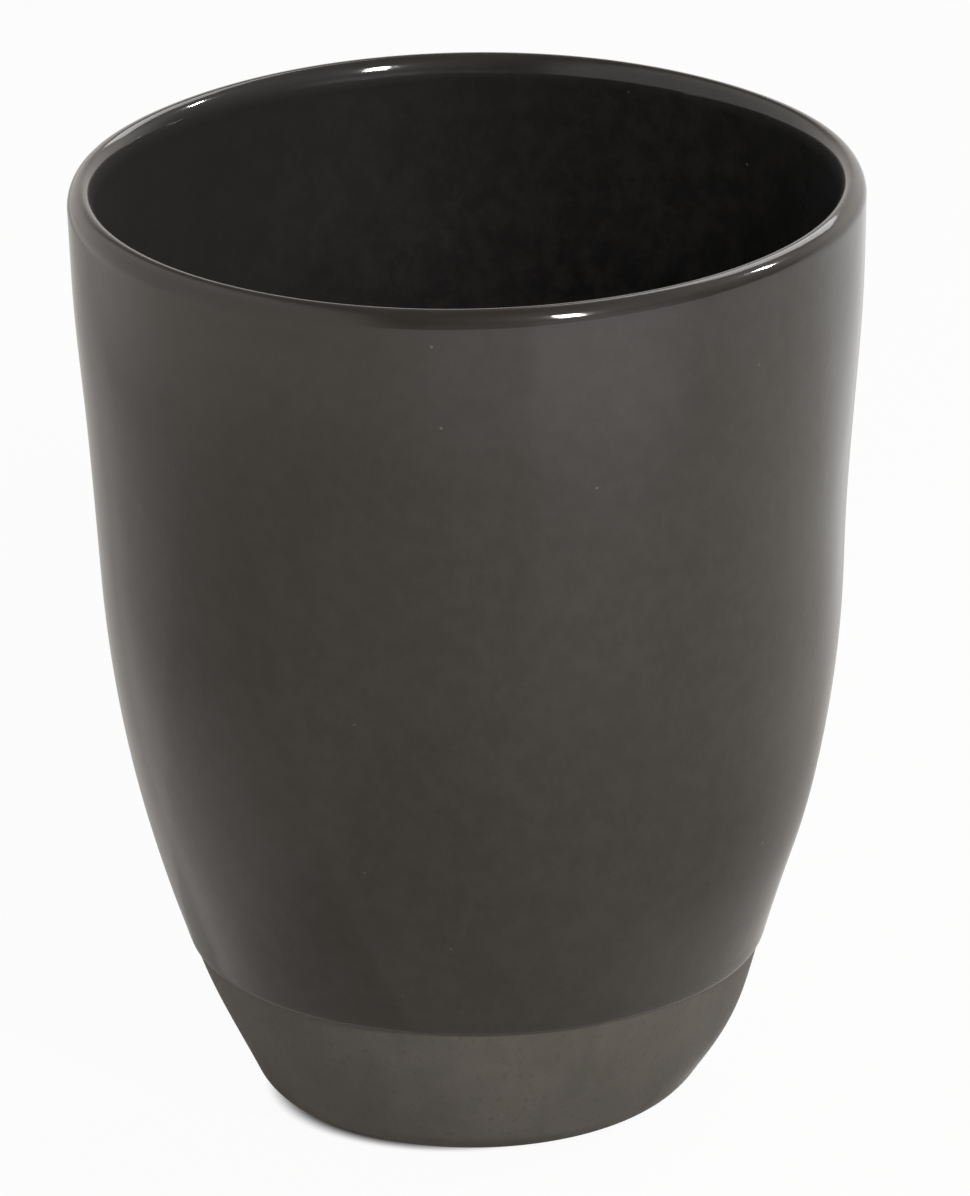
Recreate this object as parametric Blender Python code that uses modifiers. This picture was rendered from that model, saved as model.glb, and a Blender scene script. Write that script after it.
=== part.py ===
"""A handleless stoneware mug: a turned clay body, a glaze coat on its outside and a liner glaze coat inside.

Metres, +Z up. The origin is the centre of the foot, on the surface that the mug stands on.
"""

import math

import bpy
from mathutils import Vector

# Finished sizes of the whole mug, with its glaze on
HEIGHT = 0.100
RIM_DIAMETER = 0.082
SHOULDER_DIAMETER = 0.0775  # where the straight upper wall passes into the belly
SHOULDER_HEIGHT = 0.0581

# Outside of the clay
BASE_DIAMETER = 0.0450  # where the belly would meet the table if its heel were sharp
BELLY_POWER = 2.08  # 1 is a straight cone below the shoulder, higher is rounder
HEEL_ROUND = 0.0048

# Thickness of the clay
WALL = 0.0030
LIP_WALL = 0.0021
LIP_THINNING_DEPTH = 0.028
LIP_CROWN = 0.0010
FLOOR_HEIGHT = 0.0060
FLOOR_ROUND = 0.0090

# Underside
FOOT_RING_WIDTH = 0.0042
FOOT_RECESS_DEPTH = 0.0014
FOOT_RECESS_SLOPE = 0.0016

# Glaze coats
GLAZE_THICKNESS = 0.00030
GLAZE_BOND_GAP = 0.00006
GLAZE_SEAM_GAP = 0.00012
GLAZE_LINE_HEIGHT = 0.0169
GLAZE_TOE = 0.0006

# Facets
TURN_STEPS = 48
LIP_STEPS = 8
UPPER_WALL_STEPS = 6
BELLY_STEPS = 6
TOE_STEPS = 3
FOOT_BAND_STEPS = 2
ROUND_STEPS = 4
MERGE_DISTANCE = 0.00001

# How finely the touching point of a rounded corner is searched
SLOPE_STEP = 0.00001
SEARCH_STEPS = 50

# Colours, as linear values
CLAY_COLOUR = (0.085, 0.080, 0.068, 1.0)
OUTER_GLAZE_COLOUR = (0.018, 0.016, 0.013, 1.0)
LINER_GLAZE_COLOUR = (0.015, 0.014, 0.012, 1.0)
CLAY_ROUGHNESS = 0.75
GLAZE_ROUGHNESS = 0.12

# Values worked out from the sizes above
COAT = GLAZE_BOND_GAP + GLAZE_THICKNESS
LIP_START = HEIGHT - COAT - LIP_CROWN
LIP_RADIUS = RIM_DIAMETER / 2 - COAT
SHOULDER_RADIUS = SHOULDER_DIAMETER / 2 - COAT
WALL_TAPER = (LIP_RADIUS - SHOULDER_RADIUS) / (LIP_START - SHOULDER_HEIGHT)
BELLY_DROP = SHOULDER_RADIUS - WALL_TAPER * SHOULDER_HEIGHT - BASE_DIAMETER / 2


def smooth_step(t):
    """0 below 0, 1 above 1, and level at both ends."""
    t = min(1.0, max(0.0, t))
    return t * t * (3 - 2 * t)


def outer_radius(z):
    """Outside radius of the clay: a tapering wall, drawn in below the shoulder."""
    below = max(0.0, 1 - z / SHOULDER_HEIGHT)
    straight = SHOULDER_RADIUS + WALL_TAPER * (z - SHOULDER_HEIGHT)
    return straight - BELLY_DROP * below**BELLY_POWER


def inner_radius(z):
    """Inside radius of the clay: the outside less a wall that thins towards the lip."""
    thickness = LIP_WALL + (WALL - LIP_WALL) * smooth_step((LIP_START - z) / LIP_THINNING_DEPTH)
    return outer_radius(z) - thickness


def slope(radius, z):
    """How fast a wall's radius grows with height."""
    return (radius(z + SLOPE_STEP) - radius(z - SLOPE_STEP)) / (2 * SLOPE_STEP)


def rounded_corner(radius, plane, ball):
    """Points from a wall down to a level plane, round a ball that touches both."""
    low, high = plane, plane + ball
    for _ in range(SEARCH_STEPS):
        z = (low + high) / 2
        rise = slope(radius, z)
        centre_z = z + ball * rise / math.hypot(1, rise)
        low, high = (z, high) if centre_z < plane + ball else (low, z)
    start = math.atan2(-rise, 1)
    centre = Vector((radius(z) - ball * math.cos(start), plane + ball))
    turn = (-math.pi / 2 - start) / ROUND_STEPS
    angles = [start + turn * i for i in range(ROUND_STEPS + 1)]
    return [centre + ball * Vector((math.cos(a), math.sin(a))) for a in angles]


def between(top, bottom, steps):
    """Evenly spaced heights going down, without the last one."""
    return [top + (bottom - top) * i / steps for i in range(steps)]


def wall_heights():
    """Heights that both sides of the wall share, from the lip down to the rounded edge of the outer glaze."""
    upper = between(LIP_START, SHOULDER_HEIGHT, UPPER_WALL_STEPS)
    return upper + between(SHOULDER_HEIGHT, GLAZE_LINE_HEIGHT + GLAZE_TOE, BELLY_STEPS)


def toe_heights():
    """Heights down the rounded lower edge of the outer glaze, closer together towards the glaze line."""
    angles = [math.pi / 2 * i / TOE_STEPS for i in range(TOE_STEPS + 1)]
    return [GLAZE_LINE_HEIGHT + GLAZE_TOE * (1 - math.sin(a)) for a in angles]


def toe_share(z):
    """The share of its full thickness that the outer glaze has at a height: its lower edge is a quarter round."""
    up = min(1.0, max(0.0, (z - GLAZE_LINE_HEIGHT) / GLAZE_TOE))
    return math.sqrt(1 - (1 - up) ** 2)


def inside_points():
    """The hollow, from the middle of its floor up to the lip."""
    corner = rounded_corner(inner_radius, FLOOR_HEIGHT, FLOOR_ROUND)
    wall = [Vector((inner_radius(z), z)) for z in wall_heights() if z > corner[0].y]
    middle = Vector((0.0, FLOOR_HEIGHT))
    return [middle] + (wall + corner)[::-1]


def lip_points():
    """A half round from the top of the inside wall over the crest to the top of the outside wall."""
    inner, outer = inner_radius(LIP_START), outer_radius(LIP_START)
    middle, half = (inner + outer) / 2, (outer - inner) / 2
    angles = [math.pi * (1 - i / LIP_STEPS) for i in range(1, LIP_STEPS)]
    return [Vector((middle + half * math.cos(a), LIP_START + LIP_CROWN * math.sin(a))) for a in angles]


def outside_points():
    """The outside wall, down to the glaze line."""
    return [Vector((outer_radius(z), z)) for z in wall_heights() + toe_heights()]


def foot_points():
    """The bare band below the glaze, the heel, the flat foot ring and the recess inside it."""
    heel = rounded_corner(outer_radius, 0.0, HEEL_ROUND)
    band = between(GLAZE_LINE_HEIGHT, heel[0].y, FOOT_BAND_STEPS)[1:]
    ring_inside = heel[-1].x - FOOT_RING_WIDTH
    recess = [
        Vector((ring_inside, 0.0)),
        Vector((ring_inside - FOOT_RECESS_SLOPE, FOOT_RECESS_DEPTH)),
        Vector((0.0, FOOT_RECESS_DEPTH)),
    ]
    return [Vector((outer_radius(z), z)) for z in band] + heel + recess


def outward(path):
    """The direction out of the clay at each point of a path that has the clay on its right."""
    directions = []
    for i in range(len(path)):
        along = path[min(i + 1, len(path) - 1)] - path[max(i - 1, 0)]
        directions.append(Vector((-along.y, along.x)).normalized())
    return directions


def lifted(path, directions, gaps):
    """A path moved out of the clay, by its own gap at each point."""
    return [p + d * g for p, d, g in zip(path, directions, gaps)]


def turned(name, outline, closed, collection, material, parent):
    """A solid of revolution from an outline that runs down its outer side."""
    points = [(p.x, 0.0, p.y) for p in outline]
    edges = [(i, i + 1) for i in range(len(points) - 1)]
    if closed:
        edges.append((len(points) - 1, 0))
    mesh = bpy.data.meshes.new(name)
    mesh.from_pydata(points, edges, [])
    mesh.materials.append(material)
    solid = bpy.data.objects.new(name, mesh)
    collection.objects.link(solid)
    solid.parent = parent
    screw = solid.modifiers.new("turn", "SCREW")
    screw.axis = "Z"
    screw.angle = 2 * math.pi
    screw.steps = TURN_STEPS
    screw.render_steps = TURN_STEPS
    screw.use_merge_vertices = True
    screw.merge_threshold = MERGE_DISTANCE
    screw.use_smooth_shade = True


def surface(name, colour, roughness):
    """A material with one colour and one roughness."""
    material = bpy.data.materials.new(name)
    material.use_nodes = True
    shader = material.node_tree.nodes["Principled BSDF"]
    shader.inputs["Base Color"].default_value = colour
    shader.inputs["Roughness"].default_value = roughness
    shader.inputs["Metallic"].default_value = 0.0
    return material


def make_body(path, collection, parent):
    """The fired clay: floor, wall, lip, bare foot band and foot ring in one piece."""
    clay = surface("dark_stoneware", CLAY_COLOUR, CLAY_ROUGHNESS)
    turned("clay_body", path, False, collection, clay, parent)


def make_liner(path, directions, crest, collection, parent):
    """The glaze poured into the hollow, from the middle of its floor up to the crest of the lip."""
    under_path = path[: crest + 1]
    under_path[-1] = under_path[-1] - Vector((GLAZE_SEAM_GAP / 2, 0.0))
    under = lifted(under_path, directions, [GLAZE_BOND_GAP] * len(under_path))
    over = lifted(under_path, directions, [COAT] * len(under_path))
    glaze = surface("liner_glaze", LINER_GLAZE_COLOUR, GLAZE_ROUGHNESS)
    turned("liner_glaze", over + under[::-1], False, collection, glaze, parent)


def make_outer_glaze(path, directions, crest, glaze_line, collection, parent):
    """The dipped glaze, from the crest of the lip down the outside to its rounded edge above the foot."""
    under_path = path[crest : glaze_line + 1]
    under_path[0] = under_path[0] + Vector((GLAZE_SEAM_GAP / 2, 0.0))
    out = directions[crest : glaze_line + 1]
    gaps = [GLAZE_BOND_GAP + GLAZE_THICKNESS * toe_share(p.y) for p in under_path]
    under = lifted(under_path, out, [GLAZE_BOND_GAP] * len(under_path))
    over = lifted(under_path, out, gaps)
    glaze = surface("outer_glaze", OUTER_GLAZE_COLOUR, GLAZE_ROUGHNESS)
    turned("outer_glaze", under[::-1] + over[:-1], True, collection, glaze, parent)


def main():
    for thing in list(bpy.data.objects):
        bpy.data.objects.remove(thing)
    collection = bpy.data.collections.new("mug")
    bpy.context.scene.collection.children.link(collection)
    axis = bpy.data.objects.new("mug_axis", None)
    collection.objects.link(axis)

    inside, lip, outside = inside_points(), lip_points(), outside_points()
    path = inside + lip + outside + foot_points()
    directions = outward(path)
    crest = len(inside) + len(lip) // 2
    glaze_line = len(inside) + len(lip) + len(outside) - 1

    make_body(path, collection, axis)
    make_liner(path, directions, crest, collection, axis)
    make_outer_glaze(path, directions, crest, glaze_line, collection, axis)


main()
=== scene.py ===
"""A handleless stoneware mug: bare dark clay at the foot, black-brown glaze outside and inside."""

import math

import bpy
import numpy as np
from bpy.props import FloatProperty, FloatVectorProperty, IntProperty, PointerProperty
from mathutils import Matrix, Vector


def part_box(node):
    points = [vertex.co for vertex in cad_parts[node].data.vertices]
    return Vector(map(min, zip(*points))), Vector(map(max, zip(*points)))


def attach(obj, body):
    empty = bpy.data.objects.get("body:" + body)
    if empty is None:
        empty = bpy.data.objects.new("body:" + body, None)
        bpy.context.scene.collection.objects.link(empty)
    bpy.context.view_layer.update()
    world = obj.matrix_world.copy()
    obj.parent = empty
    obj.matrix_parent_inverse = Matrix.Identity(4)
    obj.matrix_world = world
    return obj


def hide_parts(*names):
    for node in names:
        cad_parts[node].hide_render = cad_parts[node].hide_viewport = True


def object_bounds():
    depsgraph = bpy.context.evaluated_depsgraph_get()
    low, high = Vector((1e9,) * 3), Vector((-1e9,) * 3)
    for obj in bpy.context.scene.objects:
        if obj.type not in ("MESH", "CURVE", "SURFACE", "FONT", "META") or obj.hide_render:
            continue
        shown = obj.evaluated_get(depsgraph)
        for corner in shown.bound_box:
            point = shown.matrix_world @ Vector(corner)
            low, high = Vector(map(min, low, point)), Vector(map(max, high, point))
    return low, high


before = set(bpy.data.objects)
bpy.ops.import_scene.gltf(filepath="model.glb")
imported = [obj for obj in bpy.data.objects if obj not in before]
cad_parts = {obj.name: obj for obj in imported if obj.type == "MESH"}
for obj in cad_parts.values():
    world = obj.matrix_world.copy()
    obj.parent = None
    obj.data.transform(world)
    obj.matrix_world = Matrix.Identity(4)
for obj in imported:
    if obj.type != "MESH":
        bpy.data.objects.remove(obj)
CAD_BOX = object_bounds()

bl_info = {
    "name": "Stoneware Mug",
    "version": (1, 0, 0),
    "blender": (4, 5, 0),
    "location": "3D View > Sidebar > Mug",
    "description": "Builds a handleless stoneware mug with two glaze coats, and a plain stage for it",
    "category": "Add Mesh",
}

BODY = "root"
TURN = 2 * math.pi
ORIGIN = (0.0, 0.0, 0.0)

# Places that the frame gives, and the gap between the clay and the glaze
CLAY_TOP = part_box("clay_body")[1].z
OUTER_LOW, OUTER_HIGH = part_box("outer_glaze")
LINER_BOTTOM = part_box("liner_glaze")[0].z
BOND_GAP = 0.00006

# How finely slopes and touching points are worked out
SLOPE_STEP = 1e-5
SEARCH_STEPS = 4001

# Points along the paths that are turned into meshes
LIP_STEPS = 28
LAST_LIP_ANGLE = math.radians(89.6)
BODY_INSIDE_STEPS = 40
BODY_OUTSIDE_STEPS = 60
LINER_STEPS = 70
OUTER_GLAZE_STEPS = 90
FLOOR_CORNER_STEPS = 26
FLOOR_STEPS = 12
FOOT_BAND_STEPS = 26
HEEL_STEPS = 22
RING_STEPS = 6
RECESS_SLOPE_STEPS = 16
RECESS_STEPS = 10
TOE_STEPS = 12
ABOVE_TOE_STEPS = 22
ABOVE_TOE = 0.004
SHARP_ANGLE = math.radians(35)

# The glaze line: how far askew it was dipped; size, count and phase of its waves; how far up they reach
GLAZE_ASKEW = -0.00026
GLAZE_WAVES = ((0.00007, 3, 0.4), (0.00004, 7, 1.9))
GLAZE_WAVE_REACH = 0.03

# Swells of the wall: how far out, height of the middle, spread in height, and the side of the mug
PRESS_MARKS = (
    (0.00032, 0.0870, 0.0070, "all round"),
    (-0.00025, 0.0640, 0.0070, "right"),
    (-0.00038, 0.0230, 0.0042, "right"),
    (0.00062, 0.0090, 0.0036, "right"),
    (-0.00050, 0.0016, 0.0022, "right"),
    (0.00030, 0.0140, 0.0045, "left"),
    (0.00012, 0.0004, 0.0020, "left"),
)
PRESS_ANGLE, PRESS_SPREAD = 0.3, 0.7
PRESS_AXIS_FADE = 0.015

# The rim: depth, angle and spread round the axis of each mark, then its height and its spread upwards
RIM_DIPS = ((0.00030, 2.50, 0.35), (0.00024, 0.75, 0.30))
RIM_DIP_START, RIM_DIP_REACH = 0.080, 0.018
LIP_SAG = (0.00042, -1.75, 0.26)
LIP_RIPPLE, LIP_RIPPLE_COUNT = 0.00007, 11
LIP_SAG_HEIGHT, LIP_SAG_SPREAD = 0.0975, 0.0008
LIP_TIGHT = (0.00090, -0.75, 0.45)
LIP_TIGHT_HEIGHT, LIP_TIGHT_SPREAD = 0.0968, 0.0012

# Colours of the light
WHITE = (1.0, 1.0, 1.0)
BLACK = (0.0, 0.0, 0.0)
WARM_WHITE = (1.0, 0.95, 0.90)
COOL_WHITE = (0.86, 0.87, 1.0)
KEY_WHITE = (1.0, 0.98, 0.97)

# The shadow under the foot: its middle, and the radii between which the eye's white begins
CONTACT_SHADOW = (-0.0033, -0.0020, 0.0)
CONTACT_RADII = (0.0172, 0.0198)
FLOOR_WHITE = 0.95

# The soft card: the corners of its folded foot, its height and its strength
CARD_FOLD = ((-0.0750, -0.1413), (0.0280, -0.1413), (0.1354, -0.0611))
CARD_HEIGHT = 0.14
CARD_GLOW = 0.62

# Lamps: name, azimuth and elevation in degrees, distance, width and height in metres, watts and colour
LAMPS = (
    ("key", -61.0, 34.0, 0.5, 0.048, 0.11, 2.5, KEY_WHITE),
    ("side", 12.0, 37.0, 0.6, 0.030, 0.06, 1.6, WHITE),
    ("back", 63.0, 42.0, 1.0, 0.5, 0.50, 3.0, WHITE),
)
LAMP_AIM = 0.6 * CAD_BOX[1].z
DIM_SURROUND = 0.05

# The photograph's frame in pixels, and the camera's sensor in millimetres
PICTURE_WIDTH, PICTURE_HEIGHT = 970, 1196
SENSOR = 36.0
NEAREST, FARTHEST = 0.01, 50.0


def length(name, description, default):
    """A size in metres that a user may change."""
    return FloatProperty(
        name=name, description=description, default=default, min=0.0, unit="LENGTH", precision=5
    )


def colour(name, description, default):
    """A linear colour that a user may change."""
    return FloatVectorProperty(
        name=name, description=description, default=default, size=3, min=0.0, max=1.0, subtype="COLOR"
    )


def share(name, description, default):
    """A number from 0 to 1 that a user may change."""
    return FloatProperty(name=name, description=description, default=default, min=0.0, max=1.0)


class MugShape(bpy.types.PropertyGroup):
    """Sizes of the turned form. Those that the frame holds are read from it."""

    height: length("Height", "From the foot to the crest of the lip", OUTER_HIGH.z)
    rim_radius: length("Rim radius", "Outside radius of the glazed lip", OUTER_HIGH.x)
    coat: length("Coat", "From the clay to the face of the glaze", OUTER_HIGH.z - CLAY_TOP)
    bond: length("Bond", "Gap between the clay and the underside of the glaze", BOND_GAP)
    shoulder_radius: length("Shoulder radius", "Glazed radius where the wall passes into the belly", 0.03875)
    shoulder_height: length("Shoulder height", "Height where the wall passes into the belly", 0.0581)
    base_radius: length("Base radius", "Radius where the belly would meet the table", 0.0225)
    belly_power: FloatProperty(name="Belly power", description="1 is a cone, higher is rounder", default=2.08)
    heel_round: length("Heel round", "Radius between the foot band and the foot ring", 0.0048)
    wall: length("Wall", "Thickness of the clay wall", 0.0030)
    lip_wall: length("Lip wall", "Thickness of the clay at the lip", 0.0021)
    thinning: length("Thinning", "Depth over which the wall thins to the lip", 0.028)
    outer_fall: length("Outer fall", "How far the lip's round reaches down the outside", 0.0017)
    inner_fall: length("Inner fall", "How far the lip's round reaches down the inside", 0.0026)
    floor_height: length("Floor height", "Top of the clay floor", LINER_BOTTOM - BOND_GAP)
    floor_round: length("Floor round", "Radius between the wall and the floor inside", 0.0090)
    ring_width: length("Ring width", "Width of the flat foot ring", 0.0042)
    recess_depth: length("Recess depth", "Depth of the recess inside the foot ring", 0.0014)
    recess_slope: length("Recess slope", "Width of the recess's sloping side", 0.0022)
    glaze_line: length("Glaze line", "Mean height of the lower edge of the outer glaze", OUTER_LOW.z)
    toe: length("Toe", "Height of the rounded lower edge of the outer glaze", 0.0006)
    bead: share("Bead", "How much thicker the outer glaze is where it has run to its edge", 0.05)
    thinned: share("Thinned", "How much thinner the outer glaze is towards its lower edge", 0.40)
    thinned_height: length("Thinned height", "How far up the glaze is thinned", 0.0070)
    bead_height: length("Bead height", "How far up the thicker edge reaches", 0.0011)
    columns: IntProperty(name="Columns", description="Steps round the axis", default=320, min=24)


class MugGlaze(bpy.types.PropertyGroup):
    """Colours and gloss of the glaze."""

    dark: colour("Dark", "Colour where the outer glaze is thick", (0.0098, 0.0074, 0.0052))
    warm: colour("Warm", "Colour where the outer glaze is thinner", (0.0116, 0.0088, 0.0061))
    liner_dark: colour("Liner dark", "Colour where the liner glaze is thick", (0.0016, 0.0016, 0.0016))
    liner_warm: colour("Liner warm", "Colour where the liner glaze is thinner", (0.0024, 0.0024, 0.0024))
    # Painted light: this lighter colour stands for the light from the right on the liner's upper left
    liner_lit_tone: colour("Liner thin", "Colour where the liner has drained thin", (0.0140, 0.0129, 0.0121))
    speck: colour("Speck", "Colour of the tiny pale specks", (0.075, 0.072, 0.065))
    haze: share("Haze", "Roughness of the dull gloss under the clear surface", 0.58)
    lip: colour("Lip", "Colour where the glaze thins over the crest of the lip", (0.018, 0.0155, 0.0135))
    tint: colour("Tint", "Colour of the dull gloss", (1.0, 0.90, 0.77))
    lip_tint: colour("Lip tint", "Colour of the dull gloss over the lip", (0.63, 0.615, 0.61))
    liner_tint: colour("Liner tint", "Colour of the liner's dull gloss", (0.72, 0.71, 0.71))
    roughness: share("Roughness", "Roughness of the clear surface", 0.084)


class MugClay(bpy.types.PropertyGroup):
    """Colours and surface of the bare clay."""

    mean: colour("Mean", "Main colour", (0.081, 0.0735, 0.0625))
    pale: colour("Pale", "Colour of the pale smudges", (0.102, 0.093, 0.080))
    deep: colour("Deep", "Colour of the dark smudges", (0.062, 0.056, 0.047))
    roughness: share("Roughness", "Mean roughness", 0.68)
    sheen: share("Sheen", "Strength of the pale bloom at a glancing angle", 0.12)
    sheen_roughness: share("Sheen roughness", "How far the pale bloom spreads from the edge", 0.20)


class MugStage(bpy.types.PropertyGroup):
    """The floor and the camera."""

    elevation: FloatProperty(
        name="Elevation", description="Camera above the horizon", default=math.radians(21.5), subtype="ANGLE"
    )
    roll: FloatProperty(
        name="Roll", description="Camera turned about its view", default=math.radians(-0.976), subtype="ANGLE"
    )
    distance: length("Distance", "Camera to the middle of the mug", 1.2)
    pixels_per_metre: FloatProperty(
        name="Pixels per metre", description="Scale of the picture at the mug", default=9587.0
    )
    centre_x: FloatProperty(name="Centre x", description="Mug's middle in the picture", default=474.3)
    centre_y: FloatProperty(name="Centre y", description="Mug's middle in the picture", default=629.3)
    floor_size: length("Floor size", "Side of the square floor", 8.0)
    floor_colour: colour("Floor colour", "Colour of the floor", (0.53, 0.512, 0.49))


# Form of the mug


def smooth_step(t):
    """0 below 0, 1 above 1, level at both ends: 3 t squared less 2 t cubed."""
    t = np.clip(t, 0.0, 1.0)
    return t * t * (3 - 2 * t)


def hump(x, centre, spread):
    """A bell curve of height 1: e to the minus half of the squared distance in spreads."""
    return np.exp(-0.5 * ((x - centre) / spread) ** 2)


def angle_hump(theta, centre, spread):
    """A bell curve that closes round the axis: e to the angle's cosine less 1, over the squared spread."""
    return np.exp((np.cos(theta - centre) - 1) / spread**2)


class Form:
    """The clean turned form: radii as functions of height, for arrays of any shape."""

    def __init__(self, s):
        self.s = s
        self.crest = s.height - s.coat
        self.lip_start = self.crest - s.outer_fall
        self.lip_radius = s.rim_radius - s.coat
        self.shoulder = s.shoulder_radius - s.coat
        self.taper = (self.lip_radius - self.shoulder) / (self.lip_start - s.shoulder_height)
        self.drop = self.shoulder - self.taper * s.shoulder_height - s.base_radius

    def outer(self, z):
        """A straight tapering wall, less a power of the depth below the shoulder."""
        s = self.s
        below = np.clip(1 - z / s.shoulder_height, 0.0, None)
        return self.shoulder + self.taper * (z - s.shoulder_height) - self.drop * below**s.belly_power

    def inner(self, z):
        """The outside less a wall that thins towards the lip."""
        s = self.s
        thick = s.lip_wall + (s.wall - s.lip_wall) * smooth_step((self.lip_start - z) / s.thinning)
        return self.outer(z) - thick

    def wall_points(self, radius, z, side):
        """Radius, height and outward direction at heights on a wall; side is 1 outside and -1 inside."""
        rise = (radius(z + SLOPE_STEP) - radius(z - SLOPE_STEP)) / (2 * SLOPE_STEP)
        size = np.hypot(1.0, rise)
        return radius(z), z, side / size, -side * rise / size

    def corner(self, radius, plane, ball, side, count):
        """An arc from a wall to a level plane: a ball rolled down the wall until it touches the plane."""
        z = np.linspace(plane, plane + ball, SEARCH_STEPS)
        r, _, nr, nz = self.wall_points(radius, z, 1)
        i = np.argmin(np.abs(z - ball * nz - plane - ball))
        start = math.atan2(nz[i], nr[i])
        a = np.linspace(start, -math.pi / 2, count)
        centre = r[i] - ball * nr[i]
        return centre + ball * np.cos(a), plane + ball + ball * np.sin(a), side * np.cos(a), side * np.sin(a)

    def lip(self, angles):
        """A half round over the lip: 0 is outside, half a turn is inside, and each side has its own fall."""
        s = self.s
        inside, outside = self.inner(self.crest - s.inner_fall), self.outer(self.lip_start)
        half = (outside - inside) / 2
        fall = np.where(np.cos(angles) > 0, s.outer_fall, s.inner_fall)
        nr, nz = np.cos(angles) / half, np.sin(angles) / fall
        size = np.hypot(nr, nz)
        r = (inside + outside) / 2 + half * np.cos(angles)
        return r, self.crest - fall * (1 - np.sin(angles)), nr / size, nz / size


def joined(*stretches):
    """Stretches of radius, height and direction, put end to end."""
    return [np.concatenate(parts) for parts in zip(*stretches)]


def reversed_path(path):
    """A path run the other way."""
    return [part[::-1] for part in path]


def lip_angles():
    """Angles from the crest of the lip to its outside, with the first step very short."""
    return np.append(np.linspace(0.0, LAST_LIP_ANGLE, LIP_STEPS), math.pi / 2)[::-1]


def outside_path(form, lowest, count):
    """From the crest down the outside to a height."""
    crest = form.lip(lip_angles())
    wall = np.linspace(form.lip_start, lowest, count)[1:]
    return joined(crest, form.wall_points(form.outer, wall, 1))


def inside_path(form, count):
    """From the crest down the inside to the middle of the floor."""
    s = form.s
    crest = form.lip(math.pi - lip_angles())
    corner = form.corner(form.inner, s.floor_height, s.floor_round, -1, FLOOR_CORNER_STEPS)
    wall = np.linspace(form.crest - s.inner_fall, corner[1][0], count)[1:-1]
    r = np.linspace(corner[0][-1], 0.0, FLOOR_STEPS)[1:]
    floor = (r, np.full_like(r, s.floor_height), np.zeros_like(r), np.ones_like(r))
    return joined(crest, form.wall_points(form.inner, wall, -1), corner, floor)


def foot_path(form):
    """From just under the glaze line over the heel and the foot ring to the middle of the base."""
    s = form.s
    heel = form.corner(form.outer, 0.0, s.heel_round, 1, HEEL_STEPS)
    band = np.linspace(s.glaze_line, heel[1][0], FOOT_BAND_STEPS)[1:-1]
    ring = heel[0][-1] - s.ring_width
    ends = (heel[0][-1], ring, ring - s.recess_slope, 0.0)
    counts = (RING_STEPS, RECESS_SLOPE_STEPS, RECESS_STEPS)
    r = np.concatenate([np.linspace(*stretch)[1:] for stretch in zip(ends, ends[1:], counts)])
    z = s.recess_depth * smooth_step((ring - r) / s.recess_slope)
    base = (r, z, np.zeros_like(r), -np.ones_like(r))
    return joined(form.wall_points(form.outer, band, 1), heel, base)


# Marks of the hand that made it


def glaze_line_lift(theta):
    """How far the glaze line lies above its mean: a cosine, as it was dipped askew, and two sine waves."""
    waves = (size * np.sin(count * theta + phase) for size, count, phase in GLAZE_WAVES)
    return sum(waves, GLAZE_ASKEW * np.cos(theta))


def press_marks(theta, z):
    """Swells of the wall: a sum of bell curves in height, each times one round the axis at its side."""
    sides = {
        "all round": 1.0,
        "right": angle_hump(theta, -PRESS_ANGLE, PRESS_SPREAD),
        "left": angle_hump(theta, math.pi + PRESS_ANGLE, PRESS_SPREAD),
    }
    return sum(out * hump(z, middle, spread) * sides[side] for out, middle, spread, side in PRESS_MARKS)


def rim_wave(theta, z):
    """How far the lip is lifted: a tighter roll at the right front, less a sag in front and two dips behind.

    Roll and sag are bell curves round the axis times one in height, the sag with a ripple of sine waves.
    The dips are bell curves round the axis times a soft step that fades out downwards.
    """
    dips = sum(depth * angle_hump(theta, angle, spread) for depth, angle, spread in RIM_DIPS)
    sag = LIP_SAG[0] * angle_hump(theta, *LIP_SAG[1:]) + LIP_RIPPLE * np.sin(LIP_RIPPLE_COUNT * theta)
    tighter = LIP_TIGHT[0] * angle_hump(theta, *LIP_TIGHT[1:])
    roll = tighter * hump(z, LIP_TIGHT_HEIGHT, LIP_TIGHT_SPREAD)
    roll = roll - sag * hump(z, LIP_SAG_HEIGHT, LIP_SAG_SPREAD)
    return roll - dips * smooth_step((z - RIM_DIP_START) / RIM_DIP_REACH)


def hand_made(theta, r, z):
    """Cylinder coordinates to x, y and z, with the rim's wave, and press marks that fade near the axis."""
    radius = r + press_marks(theta, z) * smooth_step(r / PRESS_AXIS_FADE)
    lifted = z + rim_wave(theta, z)
    points = np.broadcast_arrays(radius * np.cos(theta), radius * np.sin(theta), lifted)
    return np.stack(points, axis=-1)


# Meshes


def ring_faces(rows, columns, closed):
    """Quads of a grid that closes round the axis, and along the path too if it is closed."""
    row = np.arange(rows if closed else rows - 1)[:, None]
    column = np.arange(columns)[None, :]
    beside = (column + 1) % columns
    start, below = row * columns, (row + 1) % rows * columns
    corners = np.broadcast_arrays(start + column, below + column, below + beside, start + beside)
    return np.stack(corners, axis=-1).reshape(-1, 4)


def pole_faces(pole, start, columns, facing_up):
    """Triangles between a point on the axis and the ring next to it."""
    ring = start + np.arange(columns)
    beside = start + (np.arange(columns) + 1) % columns
    tip = np.full(columns, pole)
    return np.stack([tip, ring, beside] if facing_up else [tip, beside, ring], axis=-1)


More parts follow.
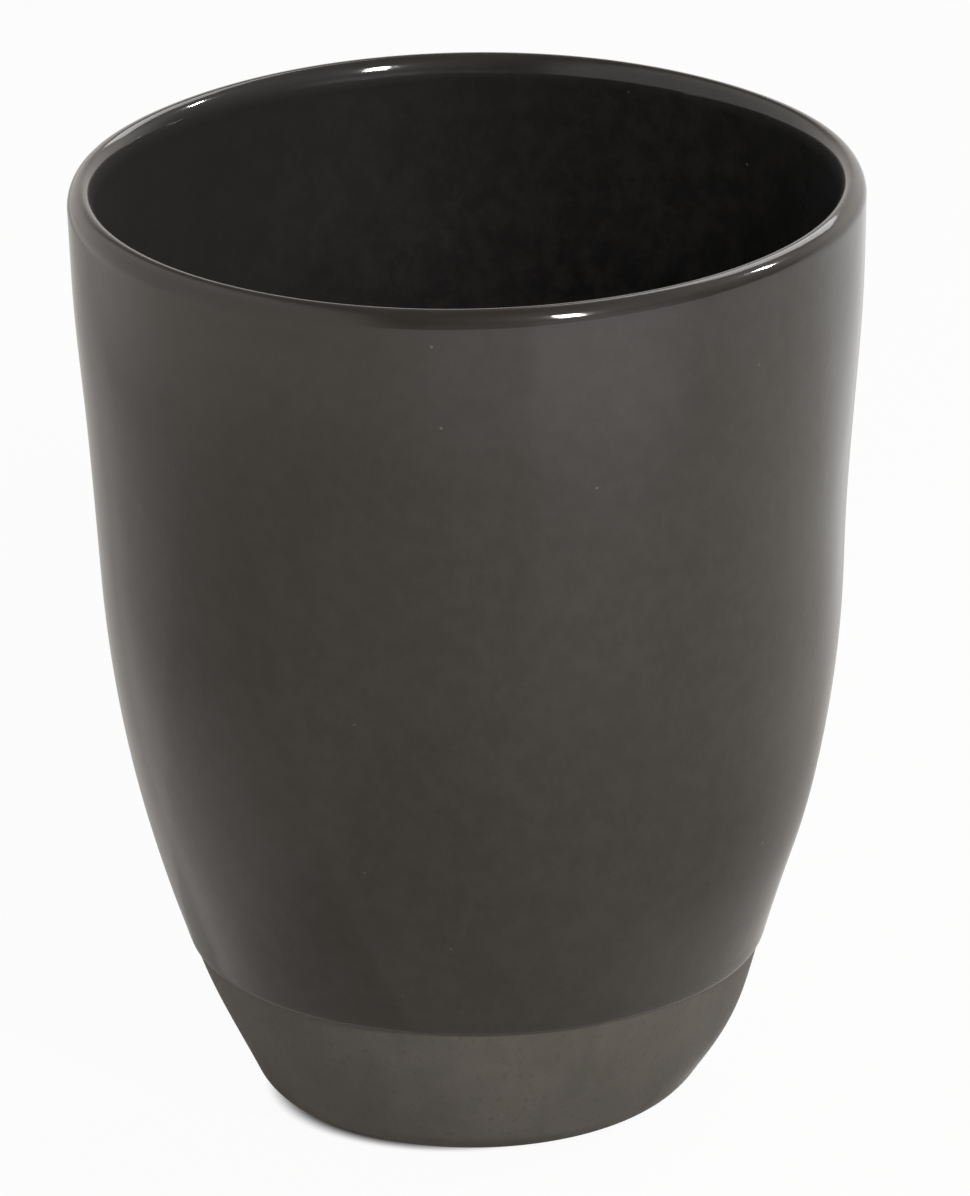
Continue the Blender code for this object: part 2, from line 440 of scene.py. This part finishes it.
def fill_mesh(name, points, quads, triangles):
    """A mesh from whole arrays of points and faces."""
    mesh = bpy.data.meshes.new(name)
    mesh.vertices.add(len(points))
    mesh.vertices.foreach_set("co", points.astype(np.float32).ravel())
    corners = np.concatenate([quads.ravel(), triangles.ravel()]).astype(np.int32)
    sizes = np.concatenate([np.full(len(quads), 4), np.full(len(triangles), 3)]).astype(np.int32)
    starts = np.concatenate([[0], np.cumsum(sizes)[:-1]]).astype(np.int32)
    mesh.loops.add(len(corners))
    mesh.loops.foreach_set("vertex_index", corners)
    mesh.polygons.add(len(sizes))
    mesh.polygons.foreach_set("loop_start", starts)
    mesh.update(calc_edges=True)
    mesh.validate()
    mesh.shade_smooth()
    mesh.set_sharp_from_angle(angle=SHARP_ANGLE)
    return mesh


def turned_mesh(name, points, closed):
    """Turned surface from a grid of points, path by columns. An open path starts and ends on the axis."""
    rows, columns = points.shape[:2]
    if closed:
        no_triangles = np.empty((0, 3), int)
        return fill_mesh(name, points.reshape(-1, 3), ring_faces(rows, columns, True), no_triangles)
    grid = points[1:-1].reshape(-1, 3)
    count = len(grid)
    poles = np.stack([points[0].mean(axis=0), points[-1].mean(axis=0)])
    quads = ring_faces(rows - 2, columns, False)
    first = pole_faces(count, 0, columns, True)
    last = pole_faces(count + 1, count - columns, columns, False)
    return fill_mesh(name, np.concatenate([grid, poles]), quads, np.concatenate([first, last]))


def add_object(name, data):
    """A new object in the scene, at the origin."""
    thing = bpy.data.objects.new(name, data)
    bpy.context.scene.collection.objects.link(thing)
    return thing


def add_piece(mesh, node, material):
    """A finished piece that stands for a node of the frame."""
    mesh.materials.append(material)
    piece = add_object(mesh.name, mesh)
    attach(piece, BODY)
    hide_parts(node)


def columns_of(shape):
    """Angles of the grid's columns, as one row."""
    return (np.arange(shape.columns) * TURN / shape.columns)[None, :]


def body_mesh(shape):
    """The clay: floor, inside wall, lip, outside wall, foot band, foot ring and recess on one path."""
    form = Form(shape)
    inside = reversed_path(inside_path(form, BODY_INSIDE_STEPS))
    outside = [part[1:] for part in outside_path(form, shape.glaze_line, BODY_OUTSIDE_STEPS)]
    r, z, _, _ = joined(inside, outside, foot_path(form))
    return turned_mesh("stoneware_body", hand_made(columns_of(shape), r[:, None], z[:, None]), False)


def liner_mesh(shape):
    """The liner glaze: the inside of the clay lifted by the coat, and back along it lifted by the bond."""
    r, z, nr, nz = inside_path(Form(shape), LINER_STEPS)
    over = (r + nr * shape.coat, z + nz * shape.coat)
    under = (r + nr * shape.bond, z + nz * shape.bond)
    r, z = joined(reversed_path(over), under)
    return turned_mesh("inside_glaze", hand_made(columns_of(shape), r[:, None], z[:, None]), False)


def outer_glaze_thickness(shape, above):
    """Thickness at heights above the glaze line: a quarter round times a slight bead less a thinning."""
    round_off = np.sqrt(np.clip(1 - np.clip(1 - above / shape.toe, 0, 1) ** 2, 0, 1))
    bead = 1 + shape.bead * hump(above, shape.bead_height, shape.bead_height / 2)
    bead = bead - shape.thinned * smooth_step(1 - above / shape.thinned_height)
    return (shape.coat - shape.bond) * round_off * bead


def outer_glaze_mesh(shape):
    """The outer glaze: the outside of the clay lifted by its thickness, down to a round edge that waves."""
    form = Form(shape)
    theta = columns_of(shape)
    toe = shape.toe * (1 - np.cos(np.linspace(0.0, math.pi / 2, TOE_STEPS)))
    up = np.concatenate([toe, shape.toe + np.linspace(0, ABOVE_TOE, ABOVE_TOE_STEPS)[1:]])
    top = outside_path(form, shape.glaze_line + up[-1], OUTER_GLAZE_STEPS)
    lip_count = len(lip_angles())
    height = np.concatenate([top[1][lip_count:], (shape.glaze_line + up)[-2::-1]])
    fade = smooth_step(1 - (height - shape.glaze_line) / GLAZE_WAVE_REACH)
    lift = glaze_line_lift(theta) * fade[:, None]
    lip = [np.broadcast_to(part[:lip_count, None], (lip_count, shape.columns)) for part in top]
    r, z, nr, nz = joined(lip, form.wall_points(form.outer, height[:, None] + lift, 1))
    above = np.concatenate([np.full(lip_count, shape.height), height]) - shape.glaze_line
    thick = outer_glaze_thickness(shape, above)[:, None] + shape.bond
    over = hand_made(theta, r + nr * thick, z + nz * thick)
    under = hand_made(theta, r + nr * shape.bond, z + nz * shape.bond)
    return turned_mesh("dipped_glaze", np.concatenate([under[::-1], over[:-1]]), True)


# Materials


class Nodes:
    """Short calls for building the node tree of a material or of the world."""

    def __init__(self, holder, coordinates="Object"):
        holder.use_nodes = True
        self.tree = holder.node_tree
        self.place = self.add("ShaderNodeTexCoord").outputs[coordinates]

    def add(self, kind):
        """A new node."""
        return self.tree.nodes.new(kind)

    def link(self, value, socket):
        """Joins an output to a socket, or sets a plain value on it."""
        if isinstance(value, bpy.types.NodeSocket):
            self.tree.links.new(value, socket)
        else:
            socket.default_value = value

    def feed(self, node, values):
        """Links or sets several inputs of a node by name."""
        for name, value in values.items():
            self.link(value, node.inputs[name])

    def stretched(self, scale):
        """The place on the object, scaled along each axis."""
        node = self.add("ShaderNodeMapping")
        self.feed(node, {"Vector": self.place, "Scale": scale})
        return node.outputs["Vector"]

    def noise(self, scale, detail=3.0, rough=0.5, vector=None):
        """Noise from 0 to 1, with a scale in waves per metre."""
        node = self.add("ShaderNodeTexNoise")
        self.feed(node, {"Vector": vector or self.place, "Scale": scale})
        self.feed(node, {"Detail": detail, "Roughness": rough})
        return node.outputs["Fac"]

    def ramp(self, value, low, high, to_low=0.0, to_high=1.0):
        """A value carried from one range to another with soft ends."""
        node = self.add("ShaderNodeMapRange")
        node.interpolation_type = "SMOOTHSTEP"
        ends = {"From Min": low, "From Max": high, "To Min": to_low, "To Max": to_high}
        self.feed(node, {"Value": value, **ends})
        return node.outputs["Result"]

    def math(self, operation, first, *others):
        """A sum, product or other operation on two or more values, taken in turn."""
        for other in others:
            node = self.add("ShaderNodeMath")
            node.operation = operation
            self.link(first, node.inputs[0])
            self.link(other, node.inputs[1])
            first = node.outputs["Value"]
        return first

    def product(self, *values):
        """Values times each other."""
        return self.math("MULTIPLY", *values)

    def largest(self, *values):
        """The largest of some values."""
        return self.math("MAXIMUM", *values)

    def mix(self, factor, first, second):
        """One colour carried into another."""
        node = self.add("ShaderNodeMix")
        node.data_type = "RGBA"
        self.link(factor, node.inputs["Factor"])
        sockets = [n for n in node.inputs if n.type == "RGBA"]
        for value, socket in zip((first, second), sockets):
            self.link(value if isinstance(value, bpy.types.NodeSocket) else (*value, 1.0), socket)
        return next(n for n in node.outputs if n.type == "RGBA")

    def distance(self, point):
        """Distance from a point on the object."""
        node = self.add("ShaderNodeVectorMath")
        node.operation = "DISTANCE"
        self.link(self.place, node.inputs[0])
        self.link(point, node.inputs[1])
        return node.outputs["Value"]

    def along(self, axis):
        """The place on the object along one axis."""
        node = self.add("ShaderNodeSeparateXYZ")
        self.link(self.place, node.inputs["Vector"])
        return node.outputs[axis]

    def specks(self, scale, size, kept, vector=None):
        """Sparse round dots: cells of a grain pattern, small at their middle, with few of the cells kept."""
        node = self.add("ShaderNodeTexVoronoi")
        self.feed(node, {"Vector": vector or self.place, "Scale": scale})
        split = self.add("ShaderNodeSeparateColor")
        self.link(node.outputs["Color"], split.inputs["Color"])
        dot = self.ramp(node.outputs["Distance"], size, size * 0.4)
        return self.product(dot, self.math("LESS_THAN", split.outputs["Red"], kept))

    def bump(self, height, distance, normal=None):
        """A bump of a height in metres."""
        node = self.add("ShaderNodeBump")
        self.feed(node, {"Strength": 1.0, "Distance": distance, "Height": height})
        if normal:
            self.link(normal, node.inputs["Normal"])
        return node.outputs["Normal"]

    def mix_shaders(self, factor, first, second):
        """One shader carried into another."""
        node = self.add("ShaderNodeMixShader")
        for value, socket in zip((factor, first, second), node.inputs):
            self.link(value, socket)
        return node.outputs["Shader"]

    def clear(self):
        """A shader that lets everything through."""
        return self.add("ShaderNodeBsdfTransparent").outputs["BSDF"]

    def show(self, shader):
        """Makes a shader the surface of the material."""
        self.link(shader, self.tree.nodes["Material Output"].inputs["Surface"])


def glaze_material(name, glaze, shape, tones, tint):
    """Glossy black-brown glaze: cloudy colour, browner over the lip, a slight orange peel, pale specks, and
    painted light that makes the upper left lighter.
    """
    material = bpy.data.materials.new(name)
    n = Nodes(material)
    dark, warm, lit_tone = tones

    def near_crest(start, end):
        """Grows from 0 to 1 between two depths below the crest of the lip."""
        return n.ramp(n.along("Z"), shape.height - start, shape.height - end)

    clouds = n.noise(55.0, detail=4.0, rough=0.6)
    runs = n.noise(1.0, rough=0.6, vector=n.stretched((150.0, 150.0, 12.0)))
    grain = n.ramp(n.noise(380.0, detail=5.0, rough=0.75), 0.36, 0.66)
    tone = n.mix(n.ramp(n.product(clouds, runs), 0.12, 0.38), dark, warm)
    tone = n.mix(n.product(grain, 0.30), tone, glaze.lip)
    # Painted light: the higher and further left, the more the lighter tone, as if lit from the right; strong
    # on the liner, a slight warming outside
    up_and_left = n.math("SUBTRACT", n.along("Z"), n.along("X"))
    lit_upper_left = n.ramp(up_and_left, shape.height * 0.5, shape.height * 1.3)
    tone = n.mix(lit_upper_left, tone, lit_tone)
    worn = n.product(near_crest(0.0010, 0.0001), n.ramp(n.noise(160.0), 0.30, 0.62, 0.4, 1.0))
    tone = n.mix(worn, tone, glaze.lip)
    dots = n.specks(240.0, size=0.050, kept=0.30)
    scuffs = n.specks(330.0, size=0.055, kept=0.05, vector=n.stretched((1.0, 1.0, 0.3)))
    tone = n.mix(n.largest(dots, scuffs), tone, glaze.speck)
    swells = n.bump(n.noise(75.0, detail=1.0), 0.00012)
    peel = n.bump(n.noise(520.0, detail=2.0), 0.000012, swells)
    mottle = n.math("ADD", n.product(runs, 0.4), n.product(grain, 0.6))
    dull = n.mix(mottle, [0.60 * part for part in tint], tint)
    finish = {
        "Base Color": tone,
        "Normal": peel,
        "Roughness": glaze.haze,
        "IOR": 1.33,
        "Specular Tint": n.mix(near_crest(0.0030, 0.0012), dull, glaze.lip_tint),
        "Coat Weight": 1.0,
        "Coat Roughness": glaze.roughness,
        "Coat IOR": 1.46,
        "Coat Normal": peel,
    }
    n.feed(n.tree.nodes["Principled BSDF"], finish)
    return material


def clay_material(clay):
    """Bare dark stoneware: mottled and smudged downwards, gritty, with pale and dark grains."""
    material = bpy.data.materials.new("bare_stoneware")
    n = Nodes(material)
    mottle = n.ramp(n.noise(130.0, detail=5.0, rough=0.62), 0.32, 0.70)
    wipe = n.noise(1.0, detail=4.0, rough=0.6, vector=n.stretched((210.0, 210.0, 28.0)))
    dark_grains = n.noise(1500.0, detail=2.0)
    pale_grains = n.specks(1300.0, size=0.22, kept=0.10)
    tone = n.mix(mottle, clay.mean, clay.pale)
    tone = n.mix(n.ramp(wipe, 0.48, 0.76, 0.0, 0.55), tone, clay.deep)
    tone = n.mix(n.ramp(dark_grains, 0.56, 0.74, 0.0, 0.55), tone, clay.deep)
    tone = n.mix(n.product(pale_grains, 0.6), tone, clay.pale)
    worn = n.ramp(n.along("Z"), 0.0, 0.0008, clay.roughness - 0.16, clay.roughness)
    lumps = n.bump(n.noise(260.0), 0.00006)
    sand = n.bump(n.noise(2400.0, rough=0.65), 0.00003, lumps)
    finish = {
        "Base Color": tone,
        "Normal": sand,
        "Roughness": n.math("ADD", worn, n.ramp(mottle, 0.0, 1.0, -0.04, 0.05)),
        "IOR": 1.45,
        "Sheen Weight": clay.sheen,
        "Sheen Roughness": clay.sheen_roughness,
    }
    n.feed(n.tree.nodes["Principled BSDF"], finish)
    return material


# Operators


class MUG_OT_stoneware_body(bpy.types.Operator):
    """Add the fired clay body"""

    bl_idname = "mug.stoneware_body"
    bl_label = "Stoneware body"

    def execute(self, context):
        scene = context.scene
        add_piece(body_mesh(scene.mug_shape), "clay_body", clay_material(scene.mug_clay))
        return {"FINISHED"}


class MUG_OT_outer_glaze(bpy.types.Operator):
    """Add the dipped glaze on the outside"""

    bl_idname = "mug.outer_glaze"
    bl_label = "Outer glaze"

    def execute(self, context):
        shape, glaze = context.scene.mug_shape, context.scene.mug_glaze
        # The third tone, here the warm one, goes on the upper left as painted light
        tones = glaze.dark, glaze.warm, glaze.warm
        finish = glaze_material("dipped_glaze", glaze, shape, tones, glaze.tint)
        add_piece(outer_glaze_mesh(shape), "outer_glaze", finish)
        return {"FINISHED"}


class MUG_OT_liner_glaze(bpy.types.Operator):
    """Add the poured glaze on the inside"""

    bl_idname = "mug.liner_glaze"
    bl_label = "Liner glaze"

    def execute(self, context):
        shape, glaze = context.scene.mug_shape, context.scene.mug_glaze
        # The third tone is painted light on the liner's upper left
        tones = glaze.liner_dark, glaze.liner_warm, glaze.liner_lit_tone
        finish = glaze_material("inside_glaze", glaze, shape, tones, glaze.liner_tint)
        add_piece(liner_mesh(shape), "liner_glaze", finish)
        return {"FINISHED"}


# Stage


def mirrored_white(n):
    """How white reflections see the floor, from 0 to 1: the largest of four patches made of soft ramps."""
    across, along = n.along("X"), n.along("Y")
    in_front = n.largest(n.ramp(across, 0.02, 0.10, 0.15, 0.38), n.ramp(along, 0.10, -0.05))
    all_round = n.product(n.ramp(n.distance(ORIGIN), 0.12, 0.29), in_front)
    near_left = n.product(n.ramp(across, -0.035, -0.065), n.ramp(across, -0.15, -0.09, 0.15, 0.30))
    far_left = n.ramp(across, -0.16, -0.28, 0.0, 0.90)
    back_right = n.product(n.ramp(across, 0.05, 0.10), n.ramp(along, 0.07, 0.14, 0.0, 0.85))
    return n.largest(all_round, near_left, far_left, back_right)


def mirrored_shade(n):
    """How much darker reflections see the floor in a strip close by the mug's right side."""
    across, along = n.along("X"), n.along("Y")
    strip = n.product(n.ramp(across, 0.035, 0.055), n.ramp(across, 0.11, 0.07, 0.0, 0.26))
    return n.product(strip, n.ramp(along, -0.05, -0.01), n.ramp(along, 0.10, 0.05))


def floor_material(floor_colour):
    """Pale floor: nearly plain white to the eye except in the shadow under the foot.

    Reflections see plain white in patches, warmer towards the left, and the lit floor elsewhere.
    From below the floor is clear.
    """
    material = bpy.data.materials.new("white_floor")
    n = Nodes(material)
    path = n.add("ShaderNodeLightPath").outputs
    glossy = path["Is Glossy Ray"]
    direct = n.largest(path["Is Camera Ray"], path["Is Transmission Ray"])
    direct = n.product(direct, n.ramp(n.distance(CONTACT_SHADOW), *CONTACT_RADII))
    white = n.product(n.largest(direct, n.product(glossy, mirrored_white(n))), FLOOR_WHITE)
    lit = n.tree.nodes["Principled BSDF"]
    tone = n.mix(n.product(glossy, mirrored_shade(n)), floor_colour, BLACK)
    n.feed(lit, {"Base Color": tone, "Roughness": 0.9, "Specular IOR Level": 0.0})
    glow = n.add("ShaderNodeEmission")
    warmth = n.product(glossy, n.ramp(n.along("X"), 0.05, -0.08))
    n.link(n.mix(warmth, WHITE, WARM_WHITE), glow.inputs["Color"])
    above = n.mix_shaders(white, lit.outputs["BSDF"], glow.outputs["Emission"])
    from_below = n.add("ShaderNodeNewGeometry").outputs["Backfacing"]
    n.show(n.mix_shaders(from_below, above, n.clear()))
    return material


def sheet_mesh(name, points, faces, material):
    """A mesh of a few plain faces."""
    mesh = bpy.data.meshes.new(name)
    mesh.from_pydata(points, [], faces)
    mesh.materials.append(material)
    return mesh


def add_floor(stage):
    """A square floor under the mug."""
    half = stage.floor_size / 2
    points = [(-half, -half, 0.0), (half, -half, 0.0), (half, half, 0.0), (-half, half, 0.0)]
    material = floor_material(stage.floor_colour)
    floor = add_object("floor", sheet_mesh("floor", points, [(0, 1, 2, 3)], material))


def card_material():
    """Clear card with a soft glow that fades towards its edges."""
    material = bpy.data.materials.new("soft_card")
    n = Nodes(material)
    across, height = n.along("X"), n.along("Z")
    ends = n.largest(n.ramp(across, -0.075, -0.015, 0.0, 0.4), n.ramp(across, 0.022, 0.044))
    ends = n.product(ends, n.ramp(across, 0.135, 0.080))
    upward = n.product(n.ramp(height, 0.0, 0.060), n.ramp(height, 0.135, 0.115))
    glow = n.add("ShaderNodeEmission")
    n.feed(glow, {"Color": (*COOL_WHITE, 1.0), "Strength": n.product(ends, upward, CARD_GLOW)})
    both = n.add("ShaderNodeAddShader")
    n.link(glow.outputs["Emission"], both.inputs[0])
    n.link(n.clear(), both.inputs[1])
    n.show(both.outputs["Shader"])
    return material


def add_card():
    """A card to the front right that only reflections show: the soft sheen below the lip."""
    points = [(x, y, z) for z in (0.0, CARD_HEIGHT) for x, y in CARD_FOLD]
    card = add_object("card", sheet_mesh("card", points, [(0, 1, 4, 3), (1, 2, 5, 4)], card_material()))
    card.visible_camera = False
    card.visible_diffuse = False
    card.visible_transmission = False
    card.visible_shadow = False


def direction(azimuth, elevation):
    """Unit vector towards an azimuth, counted from +X to +Y, and an elevation, both in degrees."""
    a, e = math.radians(azimuth), math.radians(elevation)
    return Vector((math.cos(a) * math.cos(e), math.sin(a) * math.cos(e), math.sin(e)))


def add_softbox(name, azimuth, elevation, distance, width, height, watts, tint):
    """A rectangular lamp that faces the mug."""
    lamp = bpy.data.lights.new(name, "AREA")
    lamp.shape = "RECTANGLE"
    lamp.size, lamp.size_y = width, height
    lamp.energy = watts
    lamp.color = tint
    holder = add_object(name, lamp)
    away = direction(azimuth, elevation)
    holder.location = Vector((0.0, 0.0, LAMP_AIM)) + away * distance
    holder.rotation_mode = "QUATERNION"
    holder.rotation_quaternion = (-away).to_track_quat("-Z", "Y")
    holder.visible_camera = False


def add_world():
    """Soft surround: white to the eye. As a light it is paler low down behind the mug and to its left.

    Reflections see it in a warmer white.
    """
    world = bpy.data.worlds.new("surround")
    bpy.context.scene.world = world
    n = Nodes(world, "Generated")
    path = n.add("ShaderNodeLightPath").outputs
    behind = n.ramp(n.along("Y"), 0.1, 0.7, DIM_SURROUND, 1.0)
    low = n.ramp(n.along("Z"), 0.58, 0.25, DIM_SURROUND, 1.0)
    left = n.ramp(n.along("X"), -0.25, -0.6, DIM_SURROUND, 0.95)
    strength = n.largest(path["Is Camera Ray"], n.product(behind, low), left)
    paper = n.mix(path["Is Glossy Ray"], WHITE, WARM_WHITE)
    n.feed(n.tree.nodes["Background"], {"Color": paper, "Strength": strength})


def add_camera(stage):
    """A long lens on the mug's middle, moved aside so that the middle falls on its place in the picture."""
    data = bpy.data.cameras.new("camera")
    data.sensor_width = SENSOR
    data.lens = stage.pixels_per_metre * stage.distance / PICTURE_HEIGHT * SENSOR
    data.clip_start, data.clip_end = NEAREST, FARTHEST
    camera = add_object("camera", data)
    bpy.context.scene.camera = camera
    middle = Vector((0.0, 0.0, (CAD_BOX[0].z + CAD_BOX[1].z) / 2))
    back = direction(-90.0, math.degrees(stage.elevation))
    facing = (-back).to_track_quat("-Z", "Y").to_matrix() @ Matrix.Rotation(stage.roll, 3, "Z")
    across = (PICTURE_WIDTH / 2 - stage.centre_x) / stage.pixels_per_metre
    upward = (stage.centre_y - PICTURE_HEIGHT / 2) / stage.pixels_per_metre
    camera.matrix_world = facing.to_4x4()
    camera.location = middle + back * stage.distance + facing @ Vector((across, upward, 0.0))


class MUG_OT_stage(bpy.types.Operator):
    """Add the floor, the light and the camera"""

    bl_idname = "mug.stage"
    bl_label = "Stage"

    def execute(self, context):
        stage = context.scene.mug_stage
        context.scene.view_settings.view_transform = "Standard"
        add_floor(stage)
        add_card()
        add_world()
        for lamp in LAMPS:
            add_softbox(*lamp)
        add_camera(stage)
        return {"FINISHED"}


class MUG_PT_sidebar(bpy.types.Panel):
    """The mug's sizes, finishes and building steps"""

    bl_idname = "MUG_PT_sidebar"
    bl_label = "Stoneware Mug"
    bl_space_type = "VIEW_3D"
    bl_region_type = "UI"
    bl_category = "Mug"

    def draw(self, context):
        scene = context.scene
        for group in (scene.mug_shape, scene.mug_glaze, scene.mug_clay, scene.mug_stage):
            box = self.layout.box()
            for key in group.__annotations__:
                box.prop(group, key)
        for operator in OPERATORS:
            self.layout.operator(operator.bl_idname)


OPERATORS = (MUG_OT_stoneware_body, MUG_OT_outer_glaze, MUG_OT_liner_glaze, MUG_OT_stage)
GROUPS = {"mug_shape": MugShape, "mug_glaze": MugGlaze, "mug_clay": MugClay, "mug_stage": MugStage}


def register():
    for group in GROUPS.values():
        bpy.utils.register_class(group)
    for name, group in GROUPS.items():
        setattr(bpy.types.Scene, name, PointerProperty(type=group))
    for operator in OPERATORS:
        bpy.utils.register_class(operator)
    bpy.utils.register_class(MUG_PT_sidebar)


def unregister():
    bpy.utils.unregister_class(MUG_PT_sidebar)
    for operator in reversed(OPERATORS):
        bpy.utils.unregister_class(operator)
    for name in GROUPS:
        delattr(bpy.types.Scene, name)
    for group in reversed(list(GROUPS.values())):
        bpy.utils.unregister_class(group)


def main():
    register()
    bpy.ops.mug.stoneware_body()
    bpy.ops.mug.outer_glaze()
    bpy.ops.mug.liner_glaze()
    bpy.ops.mug.stage()


if __name__ == "__main__":
    main()
